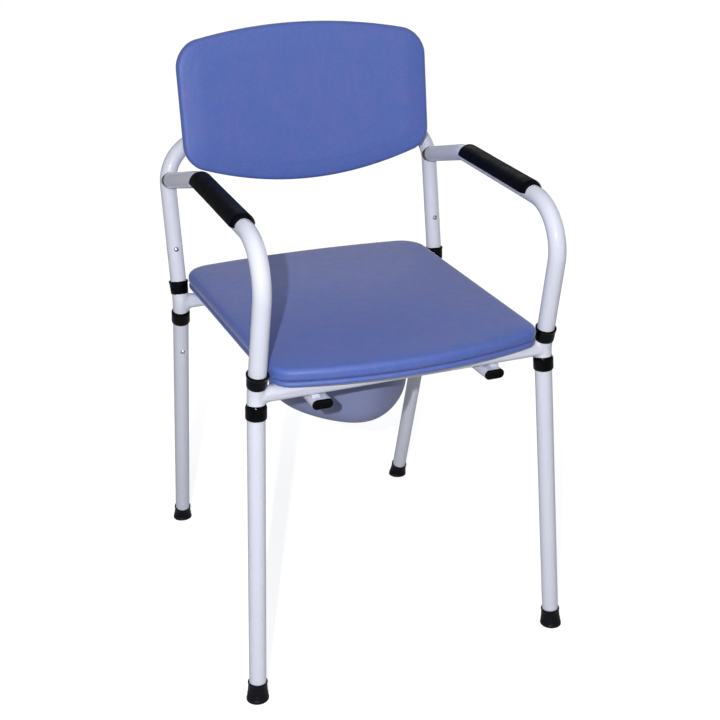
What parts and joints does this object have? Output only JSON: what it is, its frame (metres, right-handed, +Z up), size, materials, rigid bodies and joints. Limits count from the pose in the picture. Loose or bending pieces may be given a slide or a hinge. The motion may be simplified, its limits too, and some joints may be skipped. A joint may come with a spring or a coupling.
{
  "type": "commode chair",
  "caption": "Knock-down tubular commode chair with arms, padded back, lift-off seat pad, seat ring and a slide-out pan.",
  "frame": {"origin": "on the floor at the middle of the chair's footprint box", "axes": "+Z up, -Y towards the front where the sitter's legs are, +X to the right seen from the front"},
  "size_m": [0.519, 0.6096, 0.8945],
  "materials": {
    "white_powder_coat": "satin white powder coat on steel tube",
    "zinc_steel": "bright zinc plate",
    "black_plastic": "semi-gloss moulded black plastic",
    "arm_pad_rubber": "satin black integral-skin foam",
    "foot_rubber": "matte black rubber",
    "blue_skin": "matte violet-blue moulded polyurethane skin",
    "back_board_plastic": "matte black moulded panel",
    "pan_plastic": "cloudy grey-blue polypropylene"
  },
  "bodies": {
    "frame": {"arm_bolt_l": "zinc_steel", "arm_bolt_r": "zinc_steel", "arm_pad_l": "arm_pad_rubber", "arm_pad_r": "arm_pad_rubber", "arm_saddle_l": "black_plastic", "arm_saddle_r": "black_plastic", "arm_tube_l": "white_powder_coat", "arm_tube_r": "white_powder_coat", "back_board": "back_board_plastic", "back_hoop": "white_powder_coat", "back_pad": "blue_skin", "back_screw_l": "zinc_steel", "back_screw_r": "zinc_steel", "collar_lower_fl": "black_plastic", "collar_lower_fr": "black_plastic", "collar_lower_rl": "black_plastic", "collar_lower_rr": "black_plastic", "collar_upper_fl": "black_plastic", "collar_upper_fr": "black_plastic", "collar_upper_rl": "black_plastic", "collar_upper_rr": "black_plastic", "foot_fl": "foot_rubber", "foot_fr": "foot_rubber", "foot_rl": "foot_rubber", "foot_rr": "foot_rubber", "front_rail": "white_powder_coat", "leg_fl": "white_powder_coat", "leg_fr": "white_powder_coat", "leg_rl": "white_powder_coat", "leg_rr": "white_powder_coat", "pan_rail_l": "white_powder_coat", "pan_rail_r": "white_powder_coat", "rail_cap_fl": "black_plastic", "rail_cap_fr": "black_plastic", "rail_cap_rl": "black_plastic", "rail_cap_rr": "black_plastic", "rear_rail": "white_powder_coat", "seat_clip_fl": "black_plastic", "seat_clip_fr": "black_plastic", "seat_clip_rl": "black_plastic", "seat_clip_rr": "black_plastic", "seat_ring": "blue_skin", "spigot_fl": "zinc_steel", "spigot_fr": "zinc_steel", "spigot_rl": "zinc_steel", "spigot_rr": "zinc_steel"},
    "seat_pad": {"seat_pad": "blue_skin"},
    "pan": {"pan": "pan_plastic"},
    "leg_button_fl": {"leg_button_fl": "zinc_steel"},
    "leg_button_fr": {"leg_button_fr": "zinc_steel"},
    "leg_button_rl": {"leg_button_rl": "zinc_steel"},
    "leg_button_rr": {"leg_button_rr": "zinc_steel"},
    "upper_button_fl": {"upper_button_fl": "zinc_steel"},
    "upper_button_fr": {"upper_button_fr": "zinc_steel"},
    "upper_button_rl": {"upper_button_rl": "zinc_steel"},
    "upper_button_rr": {"upper_button_rr": "zinc_steel"}
  },
  "joints": [
    {"name": "seat_pad_lift", "type": "slide", "parent": "frame", "child": "seat_pad", "axis": [0, -0.0155, 0.9999], "range_m": [0, 0.12]},
    {"name": "pan_slide", "type": "slide", "parent": "frame", "child": "pan", "axis": [0, 1, 0], "range_m": [-0.1, 0.3]},
    {"name": "leg_button_fl_press", "type": "slide", "parent": "frame", "child": "leg_button_fl", "axis": [0.0025, -0.999, 0.0455], "range_m": [0, 0.0034], "stiffness_N_per_m": 2500, "springref_m": -0.002},
    {"name": "leg_button_fr_press", "type": "slide", "parent": "frame", "child": "leg_button_fr", "axis": [-0.0025, -0.999, 0.0455], "range_m": [0, 0.0034], "stiffness_N_per_m": 2500, "springref_m": -0.002},
    {"name": "leg_button_rl_press", "type": "slide", "parent": "frame", "child": "leg_button_rl", "axis": [-0.0041, 0.9538, 0.3003], "range_m": [0, 0.0034], "stiffness_N_per_m": 2500, "springref_m": -0.002},
    {"name": "leg_button_rr_press", "type": "slide", "parent": "frame", "child": "leg_button_rr", "axis": [0.0041, 0.9538, 0.3003], "range_m": [0, 0.0034], "stiffness_N_per_m": 2500, "springref_m": -0.002},
    {"name": "upper_button_fl_press", "type": "slide", "parent": "frame", "child": "upper_button_fl", "axis": [-0.0072, -0.9735, -0.2285], "range_m": [0, 0.0034], "stiffness_N_per_m": 2500, "springref_m": -0.002},
    {"name": "upper_button_fr_press", "type": "slide", "parent": "frame", "child": "upper_button_fr", "axis": [0.0072, -0.9735, -0.2285], "range_m": [0, 0.0034], "stiffness_N_per_m": 2500, "springref_m": -0.002},
    {"name": "upper_button_rl_press", "type": "slide", "parent": "frame", "child": "upper_button_rl", "axis": [0, 0.9888, -0.1493], "range_m": [0, 0.0034], "stiffness_N_per_m": 2500, "springref_m": -0.002},
    {"name": "upper_button_rr_press", "type": "slide", "parent": "frame", "child": "upper_button_rr", "axis": [0, 0.9888, -0.1493], "range_m": [0, 0.0034], "stiffness_N_per_m": 2500, "springref_m": -0.002}
  ]
}
